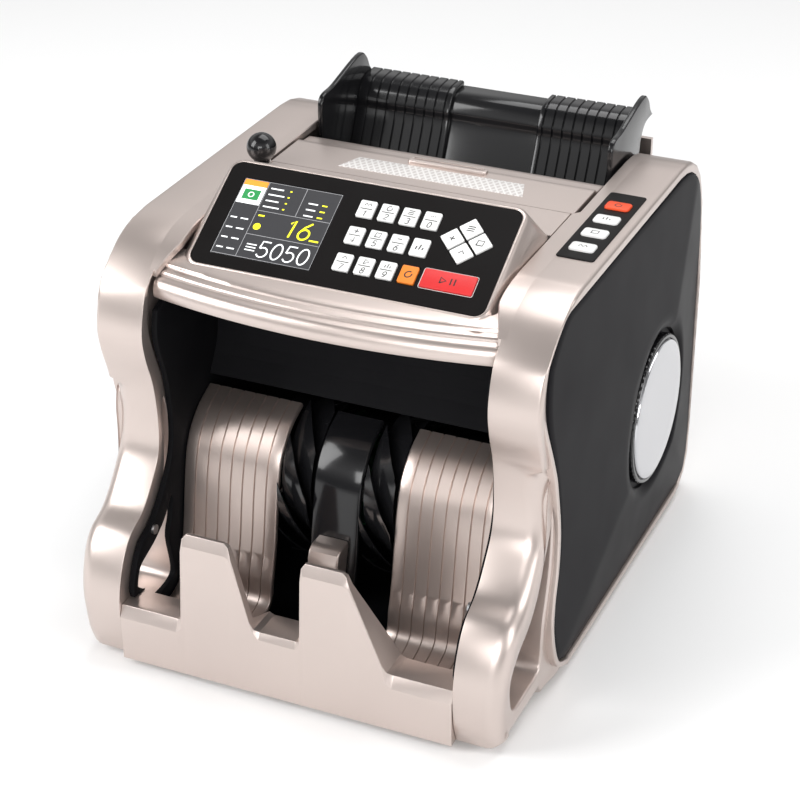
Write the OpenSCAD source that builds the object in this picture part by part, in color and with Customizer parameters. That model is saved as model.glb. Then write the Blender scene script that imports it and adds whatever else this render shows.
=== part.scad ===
// Loose-note counting machine: top feed hopper, sloping key panel, open front stacker.
// Millimetres, +Z up, the front faces -Y. Inside the modules y is counted from the front plate,
// and place() moves each finished piece so the origin is at the bottom centre of the whole machine.

/* [Node] */
// Which piece to draw

/* [Overall] */
// Half of the width over the side covers
half_width = 132.5; // [120:0.5:150]
// Depth from the front plate to the back of the hopper
depth = 316; // [280:1:340]
// Height of the rubber feet
foot_height = 4; // [3:0.5:6]
// Height of the top deck above the table
deck_top = 232; // [215:1:245]

/* [Side frames] */
// Inner face of the side frames, from the centre plane
frame_in = 98.3; // [95:0.1:105]
// Outer face of the silver rim, from the centre plane
frame_out = 126.5; // [115:0.5:130]
// Floor of the recess that takes the black side cover
recess_x = 123.2; // [118:0.1:125]
// Depth of the hollow behind that recess
hollow_x = 119.8; // [110:0.1:121]
// Virtual apex of the faceted side cover
apex_x = 134.5; // [132:0.1:140]

/* [Stacker] */
// Half of the clear width between the black inner walls
pocket_half = 94.3; // [90:0.1:100]
// Thickness of the black inner walls
wall_thickness = 3.4; // [2:0.1:5]
// Depth of the front ledge
ledge_depth = 20; // [12:1:26]
// Height of the ledge top
ledge_top = 38; // [30:1:50]
// Top of the two front fingers
finger_top = 94; // [70:1:110]
// Radius of the stacker wheels
stacker_radius = 46; // [35:1:50]
// Curved blades on each stacker wheel
stacker_blades = 12; // [8:1:18]
// Grooves on each silver stack guide
guide_grooves = 7; // [4:1:10]

/* [Shafts] */
// Drive shaft position, from the front and above the table
drive_at = [228, 97];
// Pick-up shaft position
pickup_at = [254, 178];
// Stacker shaft position
stacker_at = [110, 80];
// Drive shaft radius
drive_shaft_r = 4; // [3:0.5:6]
// Radius of the two lighter shafts
light_shaft_r = 3; // [2:0.5:5]
// Running clearance in the bearings
run_fit = 0.05; // [0.02:0.01:0.1]

/* [Panel] */
// Lower edge of the sloping panel, from the front and above the table
panel_foot = [68.4, 220.1];
// Slope of the panel in degrees
panel_tilt = 30.45; // [20:0.1:45]
// Width of the black overlay
overlay_width = 167.4; // [150:0.2:175]
// Height of the black overlay up the slope
overlay_height = 67.3; // [55:0.1:75]
// Corner radius of the overlay
overlay_corner = 6; // [2:0.5:10]
// Key size across and up the slope
key_size = [9.3, 10.8];
// Key pitch across and up the slope
key_pitch = [12.3, 17.4];
// How far a key cap stands out of the panel
key_proud = 0.9; // [0.5:0.1:2]
// Gap round each key cap
key_gap = 0.35; // [0.25:0.05:0.6]

/* [Hopper] */
// Width of one ribbed note guide without its wing
guide_span = [28, 88.2];
// Thickness of the wing at the end of each note guide
wing_thickness = 3.3; // [2:0.1:5]
// Grooves on each note guide
hopper_grooves = 9; // [5:1:12]

/* [Hidden] */
silver = [0.80, 0.74, 0.71];
bright = [0.86, 0.86, 0.88];
black = [0.04, 0.04, 0.045];
satin = [0.09, 0.09, 0.095];
white = [0.93, 0.93, 0.92];
steel = [0.62, 0.63, 0.65];
eps = 0.01;
through = 40;
gap = 0.3;

// ---- paths in the side view, [from the front, height] ----

// front edge of the silver arms, from the foot up to the shoulder
arm_front = [[7, 4], [2, 18], [0.5, 40], [6, 60], [16, 74], [31, 82], [43, 95], [51, 108],
    [53, 125], [50, 150], [43.5, 170], [41.5, 185], [46, 203], [53, 212], [69, 224], [84, 230]];
// leaf-shaped opening through each side frame
side_opening = [[60, 139], [57.5, 128], [57.5, 112], [56, 97], [49, 79], [37, 66], [23, 57], [14, 46],
    [15, 33], [22, 21], [59, 22], [60, 58], [65.5, 86], [66, 110], [62.5, 130]];
// hollow behind the outer wall of each side frame
frame_hollow = [[66, 10], [66, 58], [71.5, 86], [70, 110], [62, 142], [54, 165], [52, 185],
    [57, 203], [72, 219], [90, 228], [262, 228], [274, 226.8], [284, 223.8], [293, 218.5],
    [300.5, 211], [305.5, 202], [309, 191], [310, 177], [310, 10]];
// front edge of the black side cover, from the foot up
cover_front = [[92, 9], [77, 18], [68, 40], [67.5, 60], [71.5, 82], [71, 108], [61, 147], [51, 175],
    [48, 194], [53, 212], [64, 222], [80, 226.5]];
// rest of its outline, round the back
cover_back = [[262, 226.5], [274, 225.4], [284, 222.6], [293, 217.5], [300.5, 210], [305.5, 201],
    [309.5, 190], [311.6, 176], [312.4, 160], [312.4, 40], [310.5, 24], [305, 13], [295, 9]];
// where the facets of the side cover meet its outline
facet_corners = [[297, 220], [47, 195], [80, 10], [312, 9]];
// opening in the inner walls, behind the side opening
wall_opening = [[56, 79], [47, 69], [36, 61.5], [26, 57.5], [19, 54], [15, 46], [16, 41], [23, 26],
    [50, 26], [55, 32], [51, 54], [55, 66]];
// face of the stack guides, from the pocket floor up
stack_face = [[22, 16.5], [54, 21], [60, 36], [65, 56], [70, 88], [76, 107], [88, 120], [103, 127]];
// black liner that closes the pocket at the back and above
liner_face = [[104, 133], [114, 150], [116, 172], [110, 186], [96, 194], [72, 197]];
// chute that carries the notes under the drive rollers to the stacker
chute_face = [[160, 88], [176, 76], [200, 66], [228, 62], [252, 71], [266, 92], [270, 120], [270, 150]];
// face of the hopper back rest
rest_face = [[277, 190], [293, 221.5], [295.5, 231], [299.5, 237.3], [305, 240], [316, 240.4]];
// wing at the end of each note guide, in front of the back rest
wing_front = [[270, 188], [246, 197], [244, 226], [244.5, 247], [262, 250.5], [296, 257.5],
    [306, 254], [311, 246]];

shell = 2.6;
lip_bottom = 201;
lip_step = 5;
lip_front = [43, 47, 51];
lip_radius = 374;
key_slab = 3.2;
flange = 1;
flange_drop = 2.1;
wall_setback = 9;
wall_screw = [34.5, 69.3];
knob_at = [-94.5, 177];
knob_r = 8.5;
wheel_x = 126;
wheel_r = 44.5;
hub_r = 12.5;
keypad_centre = [110.8, 172];
keypad_size = [21, 89];
side_key_y = [198, 179, 160, 141];
inlet_at = [-66, 40];
rocker_at = [-30, 40];
rear_y = 311.2;
rear_thickness = 3.3;
slot_out = 93.4;
foot_at = [80, 36, 288];

// ---- functions ----

function unit(v) = v / norm(v);
function along(p, i) = p[min(i + 1, len(p) - 1)] - p[max(i - 1, 0)];
function right_of(t) = [t[1], -t[0]];
function shifted(p, d) = [for (i = [0 : len(p) - 1]) p[i] + d * unit(right_of(along(p, i)))];
function backwards(p) = [for (i = [len(p) - 1 : -1 : 0]) p[i]];
function band(p, d0, d1) = concat(shifted(p, d0), backwards(shifted(p, d1)));
function spline_point(a, b, c, d, t) = 0.5 * (2 * b + (c - a) * t + (2 * a - 5 * b + 4 * c - d) * t * t
    + (3 * b - a - 3 * c + d) * t * t * t);
function smooth(p, n) = concat([for (i = [0 : len(p) - 2], k = [0 : n - 1])
    spline_point(p[max(i - 1, 0)], p[i], p[i + 1], p[min(i + 2, len(p) - 1)], k / n)],
    [p[len(p) - 1]]);

arm_curve = smooth(arm_front, 3);
stack_curve = smooth(stack_face, 3);
liner_curve = smooth(liner_face, 3);
chute_curve = smooth(chute_face, 3);
rest_curve = smooth(rest_face, 3);
frame_outline = concat(arm_curve, [[100, 232], [262, 232], [275, 231], [286, 228], [296, 222.5],
    [304, 214], [309, 204], [312.5, 192], [314, 178], [314, 14], [312, 8], [308, 4]]);
cover_curve = concat(smooth(cover_front, 3), cover_back);

// ---- helpers ----

module place() { translate([0, -depth / 2, 0]) children(); }

module slab(x0, x1) { translate([x0, 0, 0]) rotate([90, 0, 90]) linear_extrude(x1 - x0) children(); }

module x_rod(at, r, x0, x1) {
    translate([x0, at[0], at[1]]) rotate([0, 90, 0]) cylinder(h = x1 - x0, r = r, $fn = 64);
}

module y_rod(x, z, r, y0, y1) {
    translate([x, y0, z]) rotate([-90, 0, 0]) cylinder(h = y1 - y0, r = r, $fn = 48);
}

module box(x0, x1, y0, y1, z0, z1) { translate([x0, y0, z0]) cube([x1 - x0, y1 - y0, z1 - z0]); }

module on_panel() { translate([0, panel_foot[0], panel_foot[1]]) rotate([panel_tilt, 0, 0]) children(); }

module round_rect(w, h, r) {
    translate([-w / 2 + r, -h / 2]) square([w - 2 * r, h]);
    translate([-w / 2, -h / 2 + r]) square([w, h - 2 * r]);
    for (sx = [-1, 1], sy = [-1, 1])
        translate([sx * (w / 2 - r), sy * (h / 2 - r)]) circle(r = r, $fn = 32);
}

module left() { mirror([1, 0, 0]) children(); }

// ---- fixed pieces ----

module base_tray() {
    color(satin) place() difference() {
        union() {
            box(-93.6, 93.6, 22.5, 309.5, foot_height, 7.5);
            box(-93.6, 93.6, 22.5, 25, 7, 12);
            box(-93.6, 93.6, 306.5, 309.5, 7, 14);
            for (x = [-80, 15], y = [170, 285]) translate([x, y, 7]) cylinder(h = 7, r = 3, $fn = 32);
        }
        for (k = [0 : 6]) box(-30 + k * 10, -26 + k * 10, 205, 245, 0, 10);
    }
}

module finger(x0, top0, top1, x1) {
    translate([0, 5, 0]) rotate([90, 0, 0]) linear_extrude(5)
        polygon([[x0, ledge_top - 12], [top0, finger_top], [top1 - 3, finger_top],
            [top1, finger_top - 3], [x1, ledge_top - 2], [x1, ledge_top - 12]]);
}

module front_plate() {
    color(silver) place() difference() {
        union() {
            box(-97.7, 97.7, 0, ledge_depth, foot_height, ledge_top);
            box(-18, 16, 0, ledge_depth, foot_height, ledge_top + 6);
            finger(-61, -57, -29, -14);
            finger(11, 12.5, 39, 61);
        }
        box(-94, 94, 3.5, ledge_depth - 3.5, 0, ledge_top - 4);
        for (x = [-79, 79]) translate([x, 0, ledge_top]) rotate([45, 0, 0]) cube([35, 4, 4], center = true);
        translate([-43, 0, finger_top]) rotate([45, 0, 0]) cube([40, 4.6, 4.6], center = true);
        translate([26, 0, finger_top]) rotate([45, 0, 0]) cube([40, 4.6, 4.6], center = true);
    }
}

module stack_guide() {
    difference() {
        slab(35.3, 93.6) polygon(band(stack_curve, 0, shell));
        for (k = [0 : guide_grooves - 1])
            slab(42 + k * 7.3, 42.9 + k * 7.3)
                polygon(band([for (p = stack_curve) if (p[0] > 56) p], -2, 0.8));
    }
}

module right_stack_guide() { color(silver) place() stack_guide(); }

module left_stack_guide() { color(silver) place() left() stack_guide(); }

module centre_guide() { color(black) place() slab(-14, 14) polygon(band(stack_curve, 0, shell)); }

module sensor_block() {
    color(silver) place() difference() {
        slab(-9, 9) polygon([[50, 24], [52, 65], [56, 69], [74, 69], [74, 24]]);
        slab(-10, 10) polygon(band(stack_curve, -0.2, through));
        x_rod([56, 52], 2.6, 4, 10);
    }
}

module side_frame(flange_in) {
    difference() {
        union() {
            slab(frame_in, frame_out) polygon(frame_outline);
            slab(flange_in, frame_in + 1)
                polygon([[63, 217.5], [69, 224], [84, 230], [100, 232], [262, 232], [275, 231], [286, 228],
                    [296, 222.5], [304, 214], [301.6, 212], [294, 219.9], [285, 224.8], [274.6, 227.8],
                    [262, 228.8], [100, 228.8], [85, 226.5], [71, 220], [68.5, 217.5]]);
        }
        slab(frame_in - 1, frame_out + 1) polygon(side_opening);
        slab(frame_in - 1, hollow_x) polygon(frame_hollow);
        slab(recess_x, frame_out + 1) polygon(shifted(cover_curve, -gap));
        box(flange_in - 1, slot_out, 181, 309.5, 220, 240);
        x_rod(wall_screw, 1.5, frame_in - 1, 106);
    }
}

module right_side_frame() {
    color(silver) place() difference() {
        side_frame(89.9);
        x_rod(drive_at, hub_r + 1.5, hollow_x - 1, frame_out);
        translate([keypad_centre[0], keypad_centre[1], deck_top - 1])
            linear_extrude(5) square(keypad_size + [0.6, 0.6], center = true);
        translate([keypad_centre[0], keypad_centre[1], deck_top - 6])
            linear_extrude(8) square(keypad_size - [3, 4], center = true);
    }
}

module left_side_frame() {
    color(silver) place() left() difference() {
        side_frame(89.9);
        translate([-knob_at[0], knob_at[1], deck_top - 8])
            cylinder(h = 10, r = light_shaft_r + run_fit, $fn = 48);
    }
}

module facets() {
    a = [apex_x, drive_at[0], drive_at[1]];
    far = [for (c = facet_corners) a + 2.2 * ([frame_out - 0.3, c[0], c[1]] - a)];
    low = [for (p = far) [100, p[1], p[2]]];
    polyhedron(concat([a], far, low), [[0, 2, 1], [0, 1, 4], [0, 4, 3], [0, 3, 2], [1, 2, 6, 5],
        [4, 1, 5, 8], [3, 4, 8, 7], [2, 3, 7, 6], [6, 7, 8, 5]]);
}

module side_cover() {
    intersection() {
        slab(recess_x + gap, half_width) polygon(cover_curve);
        facets();
    }
}

module right_side_cover() {
    color(black) place() difference() {
        side_cover();
        x_rod(drive_at, wheel_r + 3.5, wheel_x - 0.5, half_width + 1);
        x_rod(drive_at, hub_r + 1, recess_x - 1, half_width);
    }
}

module left_side_cover() { color(black) place() left() side_cover(); }

module inner_wall() {
    front = [for (p = shifted(arm_curve, wall_setback)) if (p[1] > 42 && p[1] < 196) p];
    difference() {
        slab(pocket_half, pocket_half + wall_thickness)
            polygon(concat([[309, 10], [20.4, 10], [20.4, 38.4], [11, 38.4]], front,
                [[66, 199.5], [110, 199.5], [156, 222], [240, 222], [262, 200], [309, 200]]));
        slab(90, 100) polygon(wall_opening);
        x_rod(drive_at, 8, 90, 100);
        x_rod(pickup_at, 6, 90, 100);
        x_rod(stacker_at, 6, 90, 100);
        x_rod(wall_screw, 1.5, 90, 100);
    }
}

module right_inner_wall() { color(black) place() inner_wall(); }

module left_inner_wall() { color(black) place() left() inner_wall(); }

module cavity_liner() {
    color(black) place() {
        slab(-93.6, 93.6) polygon(band(liner_curve, 0, 2.4));
        slab(-93.6, 93.6) polygon(band(chute_curve, 0, 2));
    }
}

module top_cover() {
    color(silver) place() {
        box(-89.6, 89.6, 152.7, 181, deck_top - 3.2, deck_top);
        box(-86, 86, 155, 158, deck_top - 9, deck_top - 3);
    }
}

module lips() {
    for (k = [0 : 2])
        translate([0, 0, lip_bottom + k * lip_step]) linear_extrude(lip_step + (k < 2 ? 0 : 1))
            intersection() {
                translate([-97.5, 30]) square([195, 52]);
                translate([0, lip_front[k] + lip_radius]) circle(r = lip_radius, $fn = 200);
            }
}

module key_sites() {
    for (row = [0 : 2], col = [0 : 3])
        translate([0.4 + col * key_pitch[0], 16.4 + row * key_pitch[1]])
            square(key_size + 2 * [key_gap, key_gap], center = true);
    for (a = [0 : 90 : 270]) translate([60, 42.8]) rotate(45 + a) translate([5.5, 5.5])
        square([9.7 + 2 * key_gap, 9.7 + 2 * key_gap], center = true);
    translate([59.5, 16.6]) square([29 + 2 * key_gap, 11.6 + 2 * key_gap], center = true);
}

module screen_site(extra) { translate([-44.7, 32.8]) square([58.5 + extra, 50.5 + extra], center = true); }

module panel_bezel() {
    color(silver) place() difference() {
        union() {
            slab(-89.6, 89.6) polygon([[63, 211], [62, 215], [65.3, 219.4], [128.7, 256.7],
                [131.5, 256.2], [150, 237], [152.4, 231], [152.4, 226], [100, 213], [90, 211]]);
            lips();
        }
        slab(-86.5, 86.5) polygon([[70.9, 217.4], [126.9, 250.4], [129, 250.2], [147, 234.5],
            [148.5, 226], [148.5, 195], [70, 195]]);
        on_panel() {
            translate([0, overlay_height / 2, -1.4]) linear_extrude(through)
                round_rect(overlay_width + 0.6, overlay_height + 0.6, overlay_corner);
            translate([0, 0, -12]) linear_extrude(through) key_sites();
            translate([0, 0, -12]) linear_extrude(through) screen_site(0.6);
        }
    }
}

module panel_overlay() {
    color(black) place() on_panel() translate([0, 0, -1.3]) linear_extrude(1.3) difference() {
        translate([0, overlay_height / 2]) round_rect(overlay_width, overlay_height, overlay_corner);
        key_sites();
        screen_site(0.2);
    }
}

module display_module() {
    color(satin) place() on_panel() {
        translate([0, 0, -6]) linear_extrude(5.8) screen_site(0);
    }
}

module side_keypad_plate() {
    color(black) place() translate([keypad_centre[0], 0, deck_top - 1]) linear_extrude(1.6) difference() {
        translate([0, keypad_centre[1]]) round_rect(keypad_size[0], keypad_size[1], 1.5);
        for (y = side_key_y) translate([0, y]) round_rect(14.8, 10.4, 4);
    }
}

module hopper_front_plate() {
    color(silver) place() difference() {
        slab(-89.3, 89.3) polygon([[181.3, 232], [217, 232], [219, 229.6], [232, 228.6], [235, 226],
            [236.5, 214], [238.5, 200], [235.5, 200], [233.4, 214], [231.6, 225.2], [219, 226.2],
            [181.3, 228.8]]);
        box(-23.4, 23.4, 213, 220, 230.2, 240);
    }
}

module hopper_tray() {
    color(black) place() {
        slab(-60, 60) polygon(band(rest_curve, 0, shell));
        slab(-93.6, 93.6) polygon([[274, 184], [277, 190], [284, 189], [309, 189], [309, 184]]);
        for (x = [-55, 0, 52])
            slab(x, x + 3) polygon([[281, 189], [295, 216], [300, 232], [306, 236], [309, 236], [309, 189]]);
    }
}

module rear_cover() {
    color(silver) place() difference() {
        union() {
            box(-97.7, 97.7, rear_y, rear_y + rear_thickness, 8, 212);
            box(-93, 93, rear_y, rear_y + rear_thickness, 200, 227);
            box(-60, 60, rear_y, rear_y + rear_thickness, 200, 236.8);
        }
        for (k = [0 : 9]) box(-60, 60, rear_y - 1, rear_y + 5, 84 + k * 8, 87.5 + k * 8);
        box(inlet_at[0] - 14, inlet_at[0] + 14, rear_y - 1, rear_y + 5, inlet_at[1] - 11, inlet_at[1] + 11);
        box(rocker_at[0] - 9, rocker_at[0] + 9, rear_y - 1, rear_y + 5, rocker_at[1] - 11, rocker_at[1] + 11);
        for (x = [-90, 90], z = [18, 200]) y_rod(x, z, 1.6, rear_y - 1, rear_y + 5);
    }
}

module power_inlet() {
    y1 = rear_y + rear_thickness;
    color(satin) place() {
        difference() {
            union() {
                box(inlet_at[0] - 16, inlet_at[0] + 16, y1, depth, inlet_at[1] - 13, inlet_at[1] + 13);
                box(inlet_at[0] - 13.8, inlet_at[0] + 13.8, 294, y1 + 1, inlet_at[1] - 10.8, inlet_at[1] + 10.8);
            }
            box(inlet_at[0] - 12.3, inlet_at[0] + 12.3, 298, depth + 1, inlet_at[1] - 8.5, inlet_at[1] + 8.5);
        }
        for (p = [[-7, 1], [0, -2.5], [7, 1]])
            box(inlet_at[0] + p[0] - 1, inlet_at[0] + p[0] + 1, 297, 311, inlet_at[1] + p[1] - 2.2,
                inlet_at[1] + p[1] + 2.2);
        difference() {
            union() {
                box(rocker_at[0] - 11, rocker_at[0] + 11, y1, depth, rocker_at[1] - 13, rocker_at[1] + 13);
                box(rocker_at[0] - 8.8, rocker_at[0] + 8.8, 296, y1 + 1, rocker_at[1] - 10.8, rocker_at[1] + 10.8);
            }
            x_rod([308.5, rocker_at[1]], 8.4, rocker_at[0] - 7.2, rocker_at[0] + 7.2);
        }
    }
}

module rubber_feet() {
    color(black) place() for (x = [-foot_at[0], foot_at[0]], y = [foot_at[1], foot_at[2]])
        translate([x, y, 0]) cylinder(h = foot_height, r1 = 8.5, r2 = 9.5, $fn = 48);
}

module main_board() {
    color([0.08, 0.32, 0.16]) place() {
        box(-86, 20, 164, 291, 14, 15.6);
        box(-70, -50, 180, 200, 15, 19);
        box(-35, -15, 215, 235, 15, 18);
        box(-80, -60, 255, 262, 15, 25);
        for (k = [0 : 3]) translate([-5, 180 + 24 * k, 15]) cylinder(h = 14, r = 5, $fn = 32);
    }
}

module power_supply() {
    color(steel) place() difference() {
        box(30, 90, 165, 252, 7.6, 48);
        box(32, 88, 167, 250, 9.6, 46);
        for (k = [0 : 7]) box(38 + k * 6, 41 + k * 6, 175, 240, 40, 50);
    }
}

module drive_motor() {
    color(steel) place() {
        x_rod([281, 34], 18, 30, 82);
        x_rod([281, 34], 8, 82, 86);
        x_rod([281, 34], 10, 86, 92);
        box(34, 78, 268, 294, 7.6, 20);
    }
}

module ring(at, r_out, r_in) {
    difference() {
        x_rod(at, r_out, 93.5, 98.1);
        x_rod(at, r_in, 90, 100);
    }
}

module shaft_bearings() {
    color(steel) place() for (side = [0, 1]) mirror([side, 0, 0]) {
        ring(drive_at, 8, drive_shaft_r + run_fit);
        ring(pickup_at, 6, light_shaft_r + run_fit);
        ring(stacker_at, 6, light_shaft_r + run_fit);
    }
}

module cover_screws() {
    color(steel) place() {
        for (x = [-90, 90], z = [18, 200]) {
            y_rod(x, z, 1.5, 306, depth - 1);
            y_rod(x, z, 3, rear_y + rear_thickness, depth - 0.2);
        }
        for (side = [0, 1]) mirror([side, 0, 0]) {
            x_rod(wall_screw, 1.4, 93.2, 105);
            x_rod(wall_screw, 2.8, 92.9, pocket_half);
        }
    }
}

// ---- moving pieces ----

module hopper_guide() {
    pitch = (guide_span[1] - guide_span[0] - 4) / hopper_grooves;
    difference() {
        union() {
            slab(guide_span[0], guide_span[1] + 1) polygon(band(rest_curve, -2.9, -0.35));
            slab(guide_span[1], guide_span[1] + wing_thickness)
                polygon(concat(wing_front, backwards(shifted(rest_curve, -0.35))));
        }
        for (k = [0 : hopper_grooves - 1])
            slab(guide_span[0] + 3 + k * pitch, guide_span[0] + 4 + k * pitch)
                polygon(band(rest_curve, -5, -2.1));
    }
}

module right_hopper_guide() { color(black) place() hopper_guide(); }

module left_hopper_guide() { color(black) place() left() hopper_guide(); }

module drive_shaft() { color(steel) place() x_rod(drive_at, drive_shaft_r, -103, 124); }

module drive_rollers() {
    color([0.13, 0.13, 0.14]) place() difference() {
        union() {
            for (x = [-59, -25, 11, 45]) x_rod(drive_at, 27, x, x + 14);
            x_rod(drive_at, 9, -70, 70);
        }
        x_rod(drive_at, drive_shaft_r, -80, 80);
    }
}

module hand_wheel() {
    color(bright) place() difference() {
        union() {
            x_rod(drive_at, wheel_r - 3, wheel_x, half_width);
            x_rod(drive_at, wheel_r, wheel_x, half_width - 1.4);
            x_rod(drive_at, hub_r, 110, wheel_x + 1);
        }
        x_rod(drive_at, drive_shaft_r, 100, 124);
        for (k = [0 : 29]) translate([0, drive_at[0], drive_at[1]]) rotate([k * 12, 0, 0])
            translate([wheel_x - 1, wheel_r + 0.9, 0]) rotate([0, 90, 0]) cylinder(h = 8, r = 1.9, $fn = 24);
    }
}

module pickup_rollers() {
    color([0.13, 0.13, 0.14]) place() {
        x_rod(pickup_at, light_shaft_r, -101, 101);
        for (x = [-56, -24, 12, 44]) x_rod(pickup_at, 15, x, x + 12);
    }
}

module stacker_shaft() { color(steel) place() x_rod(stacker_at, light_shaft_r, -101, 101); }

function blade_point(r, a) = [r * cos(a), r * sin(a)];
function blade_edge(lead) = [for (k = [0 : 7]) let (r = 11 + (stacker_radius - 11) * k / 7)
    blade_point(r, lead - 78 * (k / 7) * (k / 7))];

module stacker_outline() {
    circle(r = 13, $fn = 64);
    for (b = [0 : stacker_blades - 1]) rotate(b * 360 / stacker_blades)
        polygon(concat(blade_edge(0), backwards(blade_edge(7))));
}

module stacker_wheel() {
    difference() {
        translate([0, stacker_at[0], stacker_at[1]]) {
            slab(15.8, 23.4) stacker_outline();
            slab(26.6, 34.2) stacker_outline();
            slab(23, 27) circle(r = 13, $fn = 64);
        }
        x_rod(stacker_at, light_shaft_r, 10, 40);
    }
}

module right_stacker_wheel() { color(black) place() stacker_wheel(); }

module left_stacker_wheel() { color(black) place() left() stacker_wheel(); }

module thickness_knob() {
    color(black) place() translate([knob_at[0], knob_at[1], 0]) {
        translate([0, 0, deck_top - 9.5]) cylinder(h = 11.5, r = light_shaft_r, $fn = 48);
        translate([0, 0, deck_top + gap]) cylinder(h = 2.2, r = 4.4, $fn = 48);
        translate([0, 0, deck_top + 9.4]) sphere(r = knob_r, $fn = 64);
    }
}

module power_rocker() {
    color(black) place() intersection() {
        x_rod([308.5, rocker_at[1]], 8, rocker_at[0] - 6.9, rocker_at[0] + 6.9);
        translate([0, 308.5, rocker_at[1]]) rotate([-7, 0, 0]) slab(rocker_at[0] - 7, rocker_at[0] + 7)
            polygon([[-8, -8], [4.8, -8], [4.8, -8], [3.8, 0], [4.8, 8], [-8, 8]]);
    }
}

// ---- keys ----

module cap(w, h) {
    translate([-w / 2, -h / 2, -key_slab - 1]) cube([w, h, key_slab + 1 + key_proud]);
    translate([-w / 2 - flange / 2, -h / 2 - flange / 2, -key_slab - flange_drop])
        cube([w + flange, h + flange, 1.4]);
}

module pad_key(col, row) {
    place() on_panel() translate([0.4 + col * key_pitch[0], 16.4 + (2 - row) * key_pitch[1], 0])
        cap(key_size[0], key_size[1]);
}

module corner_key(turn) {
    place() on_panel() translate([60, 42.8, 0]) rotate([0, 0, 45 + turn]) translate([5.5, 5.5, 0])
        cap(9.7, 9.7);
}

module side_key(i) {
    place() translate([keypad_centre[0], side_key_y[i], deck_top - 2.6]) {
        linear_extrude(4.4) round_rect(14, 9.6, 4);
        linear_extrude(1.2) round_rect(15.6, 11.2, 4);
    }
}

module key_1() { color(white) pad_key(0, 0); }
module key_2() { color(white) pad_key(1, 0); }
module key_3() { color(white) pad_key(2, 0); }
module key_0() { color(white) pad_key(3, 0); }
module key_4() { color(white) pad_key(0, 1); }
module key_5() { color(white) pad_key(1, 1); }
module key_6() { color(white) pad_key(2, 1); }
module key_mode() { color(white) pad_key(3, 1); }
module key_7() { color(white) pad_key(0, 2); }
module key_8() { color(white) pad_key(1, 2); }
module key_9() { color(white) pad_key(2, 2); }
module key_clear() { color([0.92, 0.45, 0.08]) pad_key(3, 2); }
module key_up() { color(white) corner_key(0); }
module key_left() { color(white) corner_key(90); }
module key_down() { color(white) corner_key(180); }
module key_right() { color(white) corner_key(270); }
module key_start() { color([0.82, 0.12, 0.12]) place() on_panel() translate([59.5, 16.6, 0]) cap(29, 11.6); }
module side_key_1() { color([0.9, 0.22, 0.03]) side_key(0); }
module side_key_2() { color(white) side_key(1); }
module side_key_3() { color(white) side_key(2); }
module side_key_4() { color(white) side_key(3); }

base_tray();
front_plate();
left_stack_guide();
right_stack_guide();
centre_guide();
sensor_block();
left_side_frame();
right_side_frame();
left_side_cover();
right_side_cover();
left_inner_wall();
right_inner_wall();
cavity_liner();
top_cover();
panel_bezel();
panel_overlay();
display_module();
side_keypad_plate();
hopper_front_plate();
hopper_tray();
rear_cover();
power_inlet();
rubber_feet();
main_board();
power_supply();
drive_motor();
shaft_bearings();
cover_screws();
left_hopper_guide();
right_hopper_guide();
drive_shaft();
drive_rollers();
hand_wheel();
pickup_rollers();
stacker_shaft();
left_stacker_wheel();
right_stacker_wheel();
thickness_knob();
power_rocker();
key_1();
key_2();
key_3();
key_0();
key_4();
key_5();
key_6();
key_mode();
key_7();
key_8();
key_9();
key_clear();
key_up();
key_right();
key_down();
key_left();
key_start();
side_key_1();
side_key_2();
side_key_3();
side_key_4();
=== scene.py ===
"""Looks for the loose-note counting machine: detailed shells, keys, screen, rollers and finishes
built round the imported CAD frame. Sizes are in millimetres, with y counted from the front plate."""
import math

import bmesh
import bpy
from mathutils import Matrix, Vector


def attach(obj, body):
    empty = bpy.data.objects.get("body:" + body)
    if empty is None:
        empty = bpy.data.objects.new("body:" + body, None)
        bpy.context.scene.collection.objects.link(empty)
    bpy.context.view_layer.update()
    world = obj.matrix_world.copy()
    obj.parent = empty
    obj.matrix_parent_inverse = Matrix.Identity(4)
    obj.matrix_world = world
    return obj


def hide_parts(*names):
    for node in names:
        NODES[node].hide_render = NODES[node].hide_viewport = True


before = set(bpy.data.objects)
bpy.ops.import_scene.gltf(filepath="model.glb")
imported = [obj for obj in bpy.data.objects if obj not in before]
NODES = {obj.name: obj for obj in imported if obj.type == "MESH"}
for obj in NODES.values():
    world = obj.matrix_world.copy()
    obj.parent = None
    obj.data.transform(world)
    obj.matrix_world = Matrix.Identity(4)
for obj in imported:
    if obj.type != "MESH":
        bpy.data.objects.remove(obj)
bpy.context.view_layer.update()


MM = 0.001
HALF_DEPTH = 158.0
BODY = "machine"  # the body that everything fixed rides on

# -------------------- sizes shared with the CAD

DECK = 232.0
FRAME_IN, FRAME_OUT = 98.3, 126.5
COVER_X, COVER_TOP = 123.5, 132.5
RIM_BASE_X = 126.2  # the cover's rim stands out from here
FOOT = 4.2  # underside of the shell, a little above the feet's height
SHEET = 2.6  # thickness of the guides
ARM_CREASE_Z = 150.0  # the round front of the lower arm starts below this
WHEEL = (228.0, 97.0)  # hand wheel: y and z of its axis
WHEEL_R, HUB_R = 44.5, 13.6
STACKER = (110.0, 80.0)
STACKER_R = 46.0
STACKER_X = (15.8, 34.2)
PANEL_FOOT = (68.4, 220.1)
PANEL_TILT = math.radians(30.45)
PANEL_W, PANEL_H, PANEL_R = 167.4, 67.3, 6.0
SIDE_KEYS_Y = (198, 179, 160, 141)
SIDE_KEYS_X = 110.8
RIBS_X = (28.0, 88.2)
LIP_HALF = 97.5
FEED_FRONT_Y = 181
NOTCH_AT = (4.5, 214.8)
KNOB_AT, KNOB_R, KNOB_CENTRE = (-94.5, 177), 8.5, 9.4  # the centre is its height over the deck

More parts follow.
